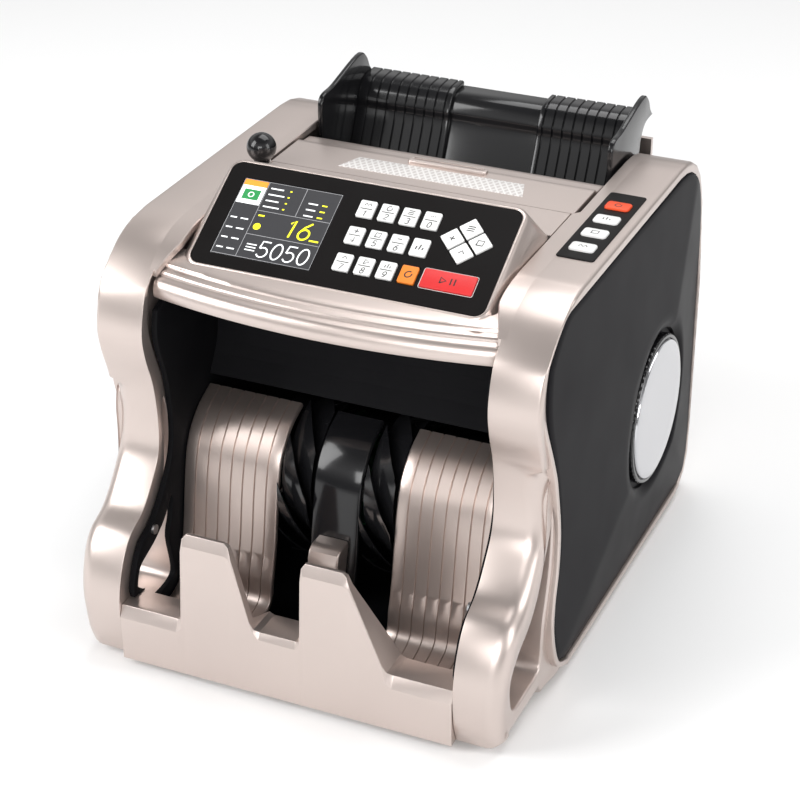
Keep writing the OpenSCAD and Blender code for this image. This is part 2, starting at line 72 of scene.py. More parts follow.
ARM_FRONT = [(7, 4), (2, 18), (0.5, 40), (6, 60), (16, 74), (31, 82), (43, 95), (51, 108),
             (53, 125), (50, 150), (43.5, 170), (41.5, 185), (46, 203), (53, 212), (69, 224),
             (84, 230), (100, 232)]
REAR_EDGE = [(262, 232), (275, 231), (286, 228), (296, 222.5), (304, 214), (309, 204),
             (312.5, 192), (314, 178), (314, 14), (312, 8), (308, 4)]
SIDE_OPENING = [(60, 139), (57.5, 128), (57.5, 112), (56, 97), (49, 79), (37, 66), (23, 57),
                (14, 46), (15, 33), (22, 21), (40, 20), (59, 22), (60, 40), (60, 58), (65.5, 86),
                (66, 110), (62.5, 130)]
COVER_FRONT = [(92, 9), (77, 18), (68, 40), (67.5, 60), (71.5, 82), (71, 108), (61, 147),
               (51, 175), (48, 194), (53, 212), (64, 222), (80, 226.5)]
COVER_BACK = [(262, 226.5), (274, 225.4), (284, 222.6), (293, 217.5), (300.5, 210), (305.5, 201),
              (309.5, 190), (311.6, 176), (312.4, 160), (312.4, 40), (310.5, 24), (305, 13), (295, 9)]
FACET_CORNERS = [(297, 220), (47, 195), (80, 10), (312, 9)]
FACET_EDGE_X = 127.6
APEX_X = 134.5
WALL_OPENING = [(56, 79), (47, 69), (36, 61.5), (26, 57.5), (19, 54), (15, 46), (16, 37), (23, 26),
                (36, 25), (50, 26), (55, 32), (51, 54), (55, 66)]
STACK_FACE = [(22, 16.5), (54, 21), (60, 36), (65, 56), (70, 88), (76, 107), (88, 120), (103, 127)]
REST_FACE = [(277, 190), (293, 221.5), (295.5, 231), (299.5, 237.3), (305, 240), (316, 240.4)]
WING_EDGE = [(270, 188), (246, 197), (244, 212), (244, 226), (244.5, 247), (262, 250.5),
             (296, 257.5), (306, 254), (311, 246)]


# -------------------- small geometry tools

def V(x, y, z):
    return Vector((x * MM, (y - HALF_DEPTH) * MM, z * MM))


def smooth(points, n=6, loop=False):
    """Catmull-Rom curve through 2D points."""
    count = len(points)

    def at(i):
        return points[i % count] if loop else points[min(max(i, 0), count - 1)]

    out = []
    for i in range(count if loop else count - 1):
        a, b, c, d = (Vector(at(i + k)) for k in (-1, 0, 1, 2))
        for k in range(n):
            t = k / n
            out.append(0.5 * (2 * b + (c - a) * t + (2 * a - 5 * b + 4 * c - d) * t * t
                              + (3 * b - a - 3 * c + d) * t ** 3))
    if not loop:
        out.append(Vector(points[-1]))
    return [(p[0], p[1]) for p in out]


def resample(points, step, loop=True):
    """The same line with points about step apart, so that faces stay even."""
    out = []
    pairs = list(zip(points, points[1:] + points[:1])) if loop else list(zip(points, points[1:]))
    for a, b in pairs:
        length = math.dist(a, b)
        n = max(1, round(length / step))
        out += [(a[0] + (b[0] - a[0]) * k / n, a[1] + (b[1] - a[1]) * k / n) for k in range(n)]
    return out if loop else out + [points[-1]]


def area2(points):
    return sum(a[0] * b[1] - b[0] * a[1] for a, b in zip(points, points[1:] + points[:1]))


def inset(points, d):
    """Closed loop moved d to the left of its travel, which is inward for a counter-clockwise one.
    d is one distance, or a list with one for each point."""
    n, out = len(points), []
    moves = d if isinstance(d, list) else [d] * n
    for i, p in enumerate(points):
        d = moves[i]
        a, b = Vector(points[i - 1]), Vector(points[(i + 1) % n])
        before = (Vector(p) - a).normalized()
        after = (b - Vector(p)).normalized()
        tangent = before + after
        if tangent.length < 1e-6:
            tangent = after
        tangent.normalize()
        spread = max(0.5, abs(tangent.dot(after)))
        normal = Vector((-tangent[1], tangent[0]))
        out.append((p[0] + normal[0] * d / spread, p[1] + normal[1] * d / spread))
    return out


def round_rect(w, h, r, n=8, centre=(0, 0)):
    pts = []
    for k, (sx, sy) in enumerate([(1, 1), (-1, 1), (-1, -1), (1, -1)]):
        for j in range(n + 1):
            a = math.pi / 2 * (k + j / n)
            pts.append((centre[0] + sx * (w / 2 - r) + r * math.cos(a),
                        centre[1] + sy * (h / 2 - r) + r * math.sin(a)))
    return pts


def in_side(x, a, b):
    """Profile plane seen from the side: a is y from the front, b is height."""
    return V(x, a, b)


def on_panel(height, a, b):
    """a across, b up the slope, height out of the panel."""
    y = PANEL_FOOT[0] + b * math.cos(PANEL_TILT) - height * math.sin(PANEL_TILT)
    z = PANEL_FOOT[1] + b * math.sin(PANEL_TILT) + height * math.cos(PANEL_TILT)
    return V(a, y, z)


def on_deck(height, a, b):
    return V(a, b, DECK + height)


def piece(name, bm, material, *nodes, body=BODY, angle=35, mirror=False, slot=None):
    """Object with a material, riding a body; it stands for the CAD nodes that are named."""
    if mirror:
        bmesh.ops.transform(bm, matrix=Matrix.Scale(-1, 4, Vector((1, 0, 0))), verts=bm.verts)
        bmesh.ops.reverse_faces(bm, faces=bm.faces)
    mesh = bpy.data.meshes.new(name)
    bm.to_mesh(mesh)
    bm.free()
    o = bpy.data.objects.new(name, mesh)
    bpy.context.scene.collection.objects.link(o)
    mesh.materials.append(MAT[material])
    mesh.polygons.foreach_set("use_smooth", [True] * len(mesh.polygons))
    mesh.set_sharp_from_angle(angle=math.radians(angle))
    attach(o, body)
    if nodes:
        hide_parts(*nodes)
    return o


def bevel(o, width, segments=3, angle=35):
    m = o.modifiers.new("bevel", "BEVEL")
    m.width, m.segments, m.limit_method = width * MM, segments, "ANGLE"
    m.angle_limit = math.radians(angle)
    m.use_clamp_overlap = True


def quarter(k, steps):
    """The two parts of step k of a rounded edge: what is left to climb, and to move across."""
    angle = math.pi / 2 * k / steps
    return 1 - math.sin(angle), 1 - math.cos(angle)


def profile_solid(outline, holes, lo, hi, r_lo=0.0, r_hi=0.0, to3d=in_side, steps=4, bm=None):
    """Plate with any outline and holes, its edges rounded by r_lo and r_hi, between two levels.
    r_hi may be a function of a point of the outline or of a hole."""
    bm = bm or bmesh.new()
    flip = 1 if lo < hi else -1
    loops = [outline if area2(outline) > 0 else outline[::-1]]
    loops += [h if area2(h) < 0 else h[::-1] for h in holes]
    levels = [(lo, 0)]
    if r_lo:
        turns = [quarter(k, steps) for k in range(steps + 1)]
        levels = [(lo + flip * r_lo * across, r_lo * up) for up, across in turns]
    origin = to3d(lo, *outline[0])
    level_axis = (to3d(lo + 1, *outline[0]) - origin) * flip
    a_axis = to3d(lo, outline[0][0] + 1, outline[0][1]) - origin
    b_axis = to3d(lo, outline[0][0], outline[0][1] + 1) - origin
    outward = a_axis.cross(b_axis).dot(level_axis) > 0
    first, last = [], []
    for loop in loops:
        rings = []
        for level, d in levels:
            pts = inset(loop, d) if d > 1e-6 else loop
            rings.append([bm.verts.new(to3d(level, a, b)) for a, b in pts])
        radii = [r_hi(p) if callable(r_hi) else r_hi for p in loop]
        for k in range(steps + 1) if max(radii) else [steps]:
            up, across = quarter(k, steps)
            pts = inset(loop, [r * across for r in radii]) if max(radii) else loop
            rings.append([bm.verts.new(to3d(hi - flip * r * up, *q)) for r, q in zip(radii, pts)])
        n = len(loop)
        for r0, r1 in zip(rings, rings[1:]):
            for i in range(n):
                j = (i + 1) % n
                quad = (r0[i], r0[j], r1[j], r1[i])
                bm.faces.new(quad if outward else quad[::-1])
        first.append(rings[0])
        last.append(rings[-1])
    for group, sense in ((first, -1), (last, 1)):
        edges = []
        for ring in group:
            for i in range(len(ring)):
                edges.append(bm.edges.get((ring[i], ring[(i + 1) % len(ring)])))
        caps = [f for f in bmesh.ops.triangle_fill(bm, use_beauty=True, edges=edges)["geom"]
                if isinstance(f, bmesh.types.BMFace)]
        for f in caps:
            f.normal_update()
            if f.normal.dot(level_axis) * sense < 0:
                f.normal_flip()
    bm.normal_update()
    return bm


def loft(sections, close_ends=True, bm=None):
    """Skin over closed rings of 3D points that all have the same length."""
    bm = bm or bmesh.new()
    rows = [[bm.verts.new(p) for p in s] for s in sections]
    n = len(rows[0])
    for a, b in zip(rows, rows[1:]):
        for i in range(n):
            j = (i + 1) % n
            bm.faces.new((a[i], a[j], b[j], b[i]))
    if close_ends:
        bm.faces.new(rows[0][::-1])
        bm.faces.new(rows[-1])
    bmesh.ops.recalc_face_normals(bm, faces=bm.faces)
    return bm


def revolve(rows, bm, weld):
    """Closed skin over rows of 3D points that go round an axis; points closer than weld are joined."""
    rows = [[bm.verts.new(p) for p in row] for row in rows]
    for a, b in zip(rows, rows[1:] + rows[:1]):
        for i in range(len(a) - 1):
            bm.faces.new((a[i], a[i + 1], b[i + 1], b[i]))
    bmesh.ops.remove_doubles(bm, verts=bm.verts, dist=weld)
    bmesh.ops.recalc_face_normals(bm, faces=bm.faces)
    return bm


def lathe_x(profile, at, turns, ripple=None, bm=None):
    """Solid of revolution about an X axis through at; profile is a list of (x, r)."""
    rows = []
    for k in range(turns):
        a = 2 * math.pi * k / turns
        row = []
        for i, (x, r) in enumerate(profile):
            rr = r - (ripple(i, a) if ripple else 0)
            row.append(V(x, at[0] + rr * math.cos(a), at[1] + rr * math.sin(a)))
        rows.append(row)
    return revolve(rows, bm or bmesh.new(), 1e-6)


# -------------------- finishes

def new_material(name, colour, metallic, roughness, coat=(0.0, 0.1), specular=0.5):
    m = bpy.data.materials.new(name)
    m.use_nodes = True
    nt = m.node_tree
    p = nt.nodes["Principled BSDF"]
    for socket, value in (("Base Color", (*colour, 1)), ("Metallic", metallic), ("Roughness", roughness),
                          ("Coat Weight", coat[0]), ("Coat Roughness", coat[1]),
                          ("Specular IOR Level", specular)):
        p.inputs[socket].default_value = value
    return m, nt, p, nt.nodes.new("ShaderNodeTexCoord").outputs["Object"]


def noise(nt, coords, scale, detail, stretch=(1, 1, 1)):
    mapping = nt.nodes.new("ShaderNodeMapping")
    mapping.inputs["Scale"].default_value = stretch
    nt.links.new(coords, mapping.inputs["Vector"])
    t = nt.nodes.new("ShaderNodeTexNoise")
    t.inputs["Scale"].default_value = scale
    t.inputs["Detail"].default_value = detail
    nt.links.new(mapping.outputs["Vector"], t.inputs["Vector"])
    return t.outputs["Fac"]


def value_ramp(nt, fac, low, high, a, b):
    r = nt.nodes.new("ShaderNodeMapRange")
    for socket, value in (("From Min", a), ("From Max", b), ("To Min", low), ("To Max", high)):
        r.inputs[socket].default_value = value
    nt.links.new(fac, r.inputs["Value"])
    return r.outputs["Result"]


def colour_ramp(nt, fac, c0, c1, a=0.35, b=0.65):
    r = nt.nodes.new("ShaderNodeValToRGB")
    for e, position, colour in zip(r.color_ramp.elements, (a, b), (c0, c1)):
        e.position, e.color = position, (*colour, 1)
    nt.links.new(fac, r.inputs["Fac"])
    return r.outputs["Color"]


def add_bump(nt, p, height, strength, distance):
    b = nt.nodes.new("ShaderNodeBump")
    b.inputs["Strength"].default_value = strength
    b.inputs["Distance"].default_value = distance
    nt.links.new(height, b.inputs["Height"])
    nt.links.new(b.outputs["Normal"], p.inputs["Normal"])


def finish(name, c0, c1, metallic, rough, coat, tone_scale, grain, stretch=(1, 1, 1), specular=0.5):
    """Moulded or painted finish: slow change of tone, patchy roughness and a fine grain.
    grain is its scale, its strength and its depth in metres."""
    m, nt, p, co = new_material(name, c0, metallic, rough[0], coat, specular)
    tone = noise(nt, co, tone_scale, 1.5)
    nt.links.new(colour_ramp(nt, tone, c0, c1, 0.15, 0.85), p.inputs["Base Color"])
    patches = noise(nt, co, tone_scale * 3.1, 1.5)
    nt.links.new(value_ramp(nt, patches, *rough, 0.1, 0.9), p.inputs["Roughness"])
    add_bump(nt, p, noise(nt, co, grain[0], 2, stretch), *grain[1:])
    return m


PAINT_GRAIN = (110, 0.1, 0.00012)
KEY_ROUGH, KEY_COAT, KEY_GRAIN = (0.38, 0.46), (0.1, 0.3), (1500, 0.05, 0.00002)
NO_COAT = (0.0, 0.1)
MAT = {
    "silver": finish("champagne_silver", (0.60, 0.515, 0.48), (0.63, 0.545, 0.505), 0.85,
                     (0.31, 0.37), (0.25, 0.3), 12, PAINT_GRAIN),
    "guide": finish("stack_guide_silver", (0.56, 0.47, 0.43), (0.61, 0.52, 0.48), 0.9,
                    (0.31, 0.37), (0.1, 0.3), 12, PAINT_GRAIN),
    "cover": finish("side_black", (0.0082, 0.0076, 0.0090), (0.0102, 0.0095, 0.0112), 0.0,
                    (0.30, 0.38), (0.0, 0.3), 10, (300, 0.1, 0.00003), specular=0.024),
    "chassis": finish("chassis_black", (0.005, 0.005, 0.006), (0.008, 0.008, 0.009), 0.0,
                      (0.45, 0.55), (0.0, 0.3), 20, (700, 0.1, 0.00004), specular=0.05),
    "gloss": finish("gloss_black", (0.006, 0.006, 0.007), (0.010, 0.010, 0.011), 0.0,
                    (0.12, 0.2), (0.3, 0.08), 12, (500, 0.02, 0.00002), specular=0.35),
    "overlay": finish("overlay_black", (0.006, 0.005, 0.005), (0.009, 0.008, 0.008), 0.0,
                      (0.36, 0.44), (0.0, 0.2), 25, (700, 0.04, 0.00002), specular=0.10),
    "white": finish("key_white", (0.80, 0.80, 0.79), (0.86, 0.86, 0.85), 0.0,
                    KEY_ROUGH, KEY_COAT, 60, KEY_GRAIN),
    "orange": finish("key_orange", (0.80, 0.21, 0.02), (0.86, 0.25, 0.03), 0.0,
                     KEY_ROUGH, KEY_COAT, 60, KEY_GRAIN),
    "red": finish("key_red", (0.60, 0.020, 0.022), (0.68, 0.028, 0.028), 0.0,
                  KEY_ROUGH, KEY_COAT, 60, KEY_GRAIN),
    "scarlet": finish("key_scarlet", (0.74, 0.055, 0.004), (0.82, 0.075, 0.008), 0.0,
                      KEY_ROUGH, KEY_COAT, 60, KEY_GRAIN),
    "chrome": finish("wheel_silver", (0.60, 0.60, 0.62), (0.64, 0.64, 0.66), 0.9,
                     (0.10, 0.17), NO_COAT, 20, (900, 0.03, 0.00002)),
    "steel": finish("bare_steel", (0.42, 0.42, 0.43), (0.52, 0.52, 0.53), 1.0,
                    (0.28, 0.42), NO_COAT, 40, (700, 0.15, 0.00004), (1, 12, 12)),
    "rubber": finish("roller_rubber", (0.022, 0.022, 0.023), (0.035, 0.034, 0.034), 0.0,
                     (0.6, 0.75), NO_COAT, 40, (900, 0.35, 0.0001)),
    "foot": finish("foot_rubber", (0.015, 0.015, 0.015), (0.024, 0.024, 0.024), 0.0,
                   (0.7, 0.85), NO_COAT, 40, (900, 0.3, 0.0001)),
    "board": finish("circuit_board", (0.01, 0.09, 0.035), (0.02, 0.13, 0.05), 0.0,
                    (0.3, 0.45), (0.2, 0.2), 120, (400, 0.2, 0.0001)),
    "screen": finish("screen", (0.013, 0.013, 0.014), (0.017, 0.017, 0.018), 0.0,
                     (0.10, 0.16), (0.3, 0.05), 30, (800, 0.01, 0.00001)),
    "ink": finish("key_ink", (0.015, 0.015, 0.016), (0.03, 0.03, 0.03), 0.0,
                  (0.5, 0.6), NO_COAT, 90, (900, 0.05, 0.00001)),
    "pale_ink": finish("pale_outline", (0.62, 0.6, 0.58), (0.72, 0.7, 0.68), 0.0,
                       (0.5, 0.6), NO_COAT, 90, (900, 0.05, 0.00001)),
}


def glow(name, colour, strength, dull=0.85):
    """Lit screen pixels, with the slight unevenness of a backlight."""
    m, nt, p, co = new_material(name, colour, 0.0, 0.4)
    uneven = colour_ramp(nt, noise(nt, co, 90, 2), [c * dull for c in colour], colour)
    nt.links.new(uneven, p.inputs["Emission Color"])
    p.inputs["Emission Strength"].default_value = strength
    return m


GLOWS = {"lit_white": glow("screen_white", (0.85, 0.87, 0.88), 0.75),
         "lit_yellow": glow("screen_yellow", (0.86, 0.84, 0.02), 0.8),
         "lit_grey": glow("screen_grey", (0.30, 0.30, 0.31), 0.45),
         "lit_field": glow("screen_field", (0.028, 0.028, 0.031), 0.5),
         "lit_orange": glow("screen_orange", (0.88, 0.26, 0.03), 0.7),
         "lit_green": glow("screen_green", (0.02, 0.22, 0.06), 0.6)}
MAT.update(GLOWS)

# material slot name for each finish; key() passes one on to marks() and piece(), which do not use it
SLOTS = {"silver": "champagne_silver", "guide": "champagne_silver", "hatched": "champagne_silver",
         "cover": "side_black", "chassis": "chassis_black", "gloss": "gloss_black",
         "overlay": "overlay_black", "pale_ink": "overlay_black", "white": "key_white",
         "orange": "key_orange", "red": "key_red", "scarlet": "key_scarlet", "chrome": "wheel_silver",
         "screen": "screen", **{name: "screen" for name in GLOWS}}
SIDES = (("right", False), ("left", True))


# -------------------- silver side frames

def clamp(value, low=0.0, high=1.0):
    return min(high, max(low, value))


def keep_inside(loop, outline, gap):
    """The loop, with each point that comes within gap of the outline pushed back inside it."""
    ring = outline if area2(outline) > 0 else outline[::-1]
    out = []
    for p in loop:
        q, best = Vector(p), None
        for a, b in zip(ring, ring[1:] + ring[:1]):
            a, e = Vector(a), Vector(b) - Vector(a)
            if e.length < 1e-6:
                continue
            d = (q - a - e * clamp((q - a).dot(e) / e.dot(e))).length
            if best is None or d < best[0]:
                side = e.x * (q.y - a.y) - e.y * (q.x - a.x)
                best = (d, d if side > 0 else -d, Vector((-e.y, e.x)).normalized())
        if best[1] < gap:
            q = q + best[2] * (gap - best[1])
        out.append((q.x, q.y))
    return out


arm_curve = smooth(ARM_FRONT, 6)
frame_outline = resample(arm_curve + REAR_EDGE, 4.0)
opening_loop = smooth(SIDE_OPENING, 4, loop=True)
cover_loop = keep_inside(resample(smooth(COVER_FRONT, 6) + COVER_BACK, 3.0), frame_outline, 1.4)
circle = [(math.cos(2 * math.pi * k / 64), math.sin(2 * math.pi * k / 64)) for k in range(64)]
hub_hole = [(WHEEL[0] + 14 * c, WHEEL[1] + 14 * s) for c, s in circle]
opening_set, cover_set = set(opening_loop), set(cover_loop)


def blend_in(value, start, width):
    """0 before start, 1 a width later."""
    return clamp((value - start) / width)


def arm_radius(p):
    """Corner radius of the side frame: small, but wide along the front of the lower arm."""
    if p in opening_set:
        return 1.4
    if p in cover_set:
        return 0.25
    plain = clamp(0.7 * min(math.dist(p, q) for q in cover_loop) - 0.3, 0.2, 2.2)
    if p[0] > 60:
        return plain
    return plain + (7.4 + 2.8 * blend_in(p[1], 105, 25)) * blend_in(ARM_CREASE_Z - p[1], 0, 4)


def slope_arm(bm):
    """The foot of the arm stands in a little from the rim of the side cover."""
    for v in bm.verts:
        x, y, z = v.co.x / MM, v.co.y / MM + HALF_DEPTH, v.co.z / MM
        if x > 112 and y < 80:
            v.co.x -= MM * 2.0 * clamp((66 - z) / 40) * clamp((80 - y) / 12)


def side_frame(side, mirror):
    bm = profile_solid(frame_outline, [opening_loop, cover_loop], FRAME_IN, FRAME_OUT, 0.3, arm_radius,
                       steps=6)
    slope_arm(bm)
    floor = inset(cover_loop, -0.2)
    profile_solid(floor, [hub_hole], FRAME_IN + 2, COVER_X - 0.4, bm=bm)
    piece(side + "_frame_shell", bm, "silver", side + "_side_frame", angle=42, mirror=mirror)


def shoulder_strip(side, mirror):
    """Top of the shoulder between the frame and the feed slot, one surface with the frame."""
    outer = FRAME_IN + 2.5
    bm = bmesh.new()
    rows = []
    for y, z in [p for p in frame_outline if (p[1] > 214 and 55 < p[0] < 312)]:
        inner = 93.4 if y > FEED_FRONT_Y else 97.8 - 7.9 * blend_in(y, 55, 20)
        rows.append([bm.verts.new(V(*q)) for q in (
            (inner, y, z - 4), (inner, y, z - 0.5), (inner + 0.5, y, z + 0.03), (outer, y, z + 0.03),
            (outer, y, z - 3))])
    for a, b in zip(rows, rows[1:]):
        for i in range(4):
            bm.faces.new((a[i], a[i + 1], b[i + 1], b[i]))
        bm.faces.new((a[4], a[0], b[0], b[4]))
    bm.faces.new(rows[0])
    bm.faces.new(rows[-1])
    bmesh.ops.recalc_face_normals(bm, faces=bm.faces)
    piece(side + "_shoulder_top", bm, "silver", mirror=mirror)


def rim_point(x, y, z):
    """The rim stands proud of the frame at the front and below, and sinks into it above and behind."""
    share = clamp((185 - z) / 45) * (1 - 0.45 * clamp((y - 285) / 20))
    return V(min(x, RIM_BASE_X) + max(0.0, x - RIM_BASE_X) * share, y, z)


def cover_rim(side, mirror):
    """Raised silver rim round the black cover."""
    room = [min(math.dist(p, q) for q in frame_outline) for p in cover_loop]
    ccw = 1 if area2(cover_loop) > 0 else -1
    outer = inset(cover_loop, [-ccw * max(0.5, min(3.3, r - 0.7)) for r in room])
    hole = inset(cover_loop, -ccw * 0.1)
    piece(side + "_cover_rim", profile_solid(outer, [hole], 121, 129.4, 0, 0.9, rim_point), "silver",
          angle=45, mirror=mirror)


for side, mirror in SIDES:
    cover_rim(side, mirror)
    side_frame(side, mirror)
    shoulder_strip(side, mirror)


# -------------------- faceted black side covers

def facet_height(y, z):
    """Height of the low pyramid on the side cover, its creases softened."""
    apex = Vector((APEX_X, *WHEEL))
    planes = []
    corners = [Vector((FACET_EDGE_X, *c)) for c in FACET_CORNERS]
    for i, c in enumerate(corners):
        n = (c - apex).cross(corners[(i + 1) % 4] - apex)
        planes.append(apex.x - (n.y * (y - apex.y) + n.z * (z - apex.z)) / n.x)
    low, soft = min(planes), 0.12
    return low - soft * math.log(sum(math.exp(-(p - low) / soft) for p in planes))


def ray_to(loop, angle):
    """Distance from the wheel's centre to the loop in a direction."""
    d, best = Vector((math.cos(angle), math.sin(angle))), None
    for a, b in zip(loop, loop[1:] + loop[:1]):
        a, b = Vector(a) - Vector(WHEEL), Vector(b) - Vector(WHEEL)
        e = b - a
        den = d.x * e.y - d.y * e.x
        if abs(den) < 1e-12:
            continue
        t = (a.x * e.y - a.y * e.x) / den
        s = (a.x * d.y - a.y * d.x) / den
        if t > 0 and -1e-9 <= s <= 1 + 1e-9 and (best is None or t < best):
            best = t
    return best


def side_cover(side, recess, mirror):
    """Faceted cover; the right one has a round recess for the hand wheel."""
    turns, radial = 288, 22
    lip = WHEEL_R + 3.4
    rows = []
    for k in range(turns):
        a = 2 * math.pi * k / turns
        edge = ray_to(cover_loop, a) - 0.35
        row = []
        start = 0.02
        if recess:
            row += [(HUB_R, 121.5), (HUB_R, 125.5), (lip - 1.2, 125.5), (lip - 0.4, 125.8)]
            start = lip
        for i in range(radial + 1):
            r = start + (edge - 1.1 - start) * (i / radial) ** (1.0 if recess else 0.8)
            y, z = WHEEL[0] + r * math.cos(a), WHEEL[1] + r * math.sin(a)
            x = min(facet_height(y, z), COVER_TOP)
            if recess:
                x -= 3.2 * max(0.0, 1 - (r - lip) / 7.0) ** 2
            row.append((r, x))
        x = row[-1][1]
        row += [(edge - 0.5, x - 0.35), (edge - 0.1, x - 0.9), (edge, x - 1.6), (edge, COVER_X)]
        rows.append([V(x, WHEEL[0] + r * math.cos(a), WHEEL[1] + r * math.sin(a)) for r, x in row])
    piece(side + "_cover_shell", revolve(rows, bmesh.new(), 2e-5), "cover", side + "_side_cover", angle=40,
          mirror=mirror)


side_cover("right", True, False)
side_cover("left", False, True)


# -------------------- hand wheel

def wheel_ripple(i, a):
    """60 shallow grip flutes on the outer points of the rim's profile."""
    return 0.3 * (0.5 + 0.5 * math.cos(60 * a)) if i in (3, 4, 5) else 0.0


wheel_rim = lathe_x([(110, 4.2), (110, 12.4), (126.2, 12.4), (126.3, 43.6), (126.9, WHEEL_R),
                     (130.2, WHEEL_R), (131.1, 43.7), (131.2, 42.2), (130.6, 41.6), (130.0, 41.4),
                     (130.0, 4.2)], WHEEL, 360, wheel_ripple)
piece("hand_wheel_rim", wheel_rim, "gloss", "hand_wheel", body="drive")
wheel_cap = lathe_x([(130.1, 41.2), (131.6, 41.2), (132.1, 40.9), (132.35, 40.2), (132.45, 38.8),
                     (132.5, 30), (132.5, 12), (132.5, 0.02)], WHEEL, 128)
piece("hand_wheel_cap", wheel_cap, "chrome", body="drive")


# -------------------- front plate with two fingers

PLATE_TOP = [  # x, height, where the face below the bevel starts, set-back of the top
    (-98.1, 38, 31, 3), (-63.5, 38, 31, 3), (-60.6, 39.5, 33.5, 1.5), (-60.0, 44, 43, 0.5),
    (-58.2, 84, 84, 0.3), (-57.6, 91.5, 87.5, 1.5), (-55.5, 94, 88, 3), (-33, 94, 88, 3),
    (-30.4, 92.6, 88, 2), (-28.6, 88, 86, 0.6), (-18.6, 50, 49.5, 0.4), (-16.4, 45.4, 43.6, 1),
    (-13.4, 44, 40, 2), (8.0, 44, 40, 2), (10.6, 45.4, 43.6, 1), (11.2, 50, 50, 0.4),
    (12.2, 84, 84, 0.3), (12.6, 91.5, 87.5, 1.5), (14.4, 94, 88, 3), (35.6, 94, 88, 3),
    (38.2, 92.6, 88, 2), (40.2, 88, 86, 0.6), (58.4, 44, 43, 0.5), (60.8, 39.5, 33.5, 1.5),
    (64.0, 38, 31, 3), (98.1, 38, 31, 3)]


def front_plate():
    """Plate with two tall fingers: a face, a sloping bevel, a top and a back, all along x."""
    face, top, rear = [], [], []
    for x, z, low, setback in PLATE_TOP:
        middle_x = -44 if x < -15 else 26
        pull = 1.2 if 80 < low < 89 and setback > 1 else 0.0
        face.append((x + (pull if x < middle_x else -pull), 0.0, low))
        top.append((x, setback, z))
        rear.append((x, 20.0 if z < 47 else 5.0, z))
    base = [(p[0], 0.6, FOOT) for p in face]
    behind = [(p[0], p[1], FOOT) for p in rear]
    bm = bmesh.new()
    rows = [[bm.verts.new(V(*p)) for p in row] for row in (base, face, top, rear, behind)]
    last = len(face) - 1
    for a, b in zip(rows, rows[1:] + rows[:1]):
        for i in range(last):
            bm.faces.new((a[i], a[i + 1], b[i + 1], b[i]))
    for i in (0, last):
        bm.faces.new([row[i] for row in rows])
    bmesh.ops.recalc_face_normals(bm, faces=bm.faces)
    bevel(piece("front_plate_shell", bm, "silver", "front_plate", angle=30), 0.9, 3, 18)


front_plate()


# -------------------- ribbed sheets: stack and note guides

def side_offset(path, d):
    """Open side-view path moved d to its right (behind a path that climbs to the back)."""
    out = []
    for i, p in enumerate(path):
        t = (Vector(path[min(i + 1, len(path) - 1)]) - Vector(path[max(i - 1, 0)])).normalized()
        move = d[i] if isinstance(d, list) else d
        out.append((p[0] + t[1] * move, p[1] - t[0] * move))
    return out


def ribbed_sheet(path, x0, x1, face, back, grooves=(), width=1.0, depth=0.9, share=None):
    """Sheet that follows a path, with fine grooves along it; each groove has sloping sides.
    share gives how wide open the grooves are at a point of the path, from 0 to 1."""
    stations = [(x0, 0.9, False), (x0 + 0.4, 0.25, False), (x0 + 1.0, 0.0, False)]
    for g in grooves:
        stations += [(g - width * 0.5, 0.0, False), (g - width * 0.3, 0.75 * depth, True), (g, depth, False),
                     (g + width * 0.3, 0.75 * depth, True), (g + width * 0.5, 0.0, False)]
    stations += [(x1 - 1.0, 0.0, False), (x1 - 0.4, 0.25, False), (x1, 0.9, False)]
    inner = side_offset(path, back)[::-1]
    sections = []
    for x, cut, fades in stations:
        depths = [face + cut * (share(p) if share and fades else 1.0) for p in path]
        sections.append([V(x, *p) for p in side_offset(path, depths) + inner])
    return loft(sections)


def only_upright(p):
    """The grooves close to fine lines where the stack guide curves into its foot."""
    return clamp((p[1] - 38) / 22)


stack_path = smooth(STACK_FACE, 7)
stack_grooves = [42.4 + k * 7.3 for k in range(7)]
for side, mirror in SIDES:
    sheet = ribbed_sheet(stack_path, 35.3, 93.6, 0.0, SHEET, stack_grooves, share=only_upright)
    piece(side + "_stack_sheet", sheet, "guide", side + "_stack_guide", angle=50, mirror=mirror)
piece("centre_guide_sheet", ribbed_sheet(stack_path, -14.0, 14.0, 0.0, SHEET), "gloss", "centre_guide",
      angle=50)


# -------------------- hopper: back rest and sliding note guides

rest_path = smooth(REST_FACE, 7)
rib_pitch = (RIBS_X[1] - RIBS_X[0] - 4) / 9
rib_grooves = [RIBS_X[0] + 3.5 + k * rib_pitch for k in range(9)]
wing_loop = resample(smooth(WING_EDGE, 5) + side_offset(rest_path, -0.35)[::-1], 2.5)

for side, mirror in SIDES:
    guide_body = side + "_note_guide"
    ribs = ribbed_sheet(rest_path, RIBS_X[0], RIBS_X[1] + 0.4, -2.9, -0.35, rib_grooves, 1.3)
    piece(guide_body + "_ribs", ribs, "gloss", side + "_hopper_guide", body=guide_body, angle=50,
          mirror=mirror)
    wing = profile_solid(wing_loop, [], RIBS_X[1], RIBS_X[1] + 3.3, 0.9, 0.9)
    piece(guide_body + "_wing", wing, "gloss", body=guide_body, angle=40, mirror=mirror)

piece("hopper_rest_sheet", ribbed_sheet(rest_path, -60, 60, 0.0, SHEET), "gloss", angle=50)
rest_beam = resample([(274, 184), (277, 190), (284, 189), (309, 189), (309, 184)], 4)
piece("hopper_rest_beam", profile_solid(rest_beam, [], -93.6, 93.6, 0.5, 0.5), "chassis", "hopper_tray")


# -------------------- hopper front plate and decks

def deck_plate(name, path, half, radius, node):
    """Sheet with a side-view path on top, rounded at its two ends."""
    plate = profile_solid(resample(path, 3.0), [], -half, half, radius, radius)
    piece(name, plate, "silver", node, angle=40)


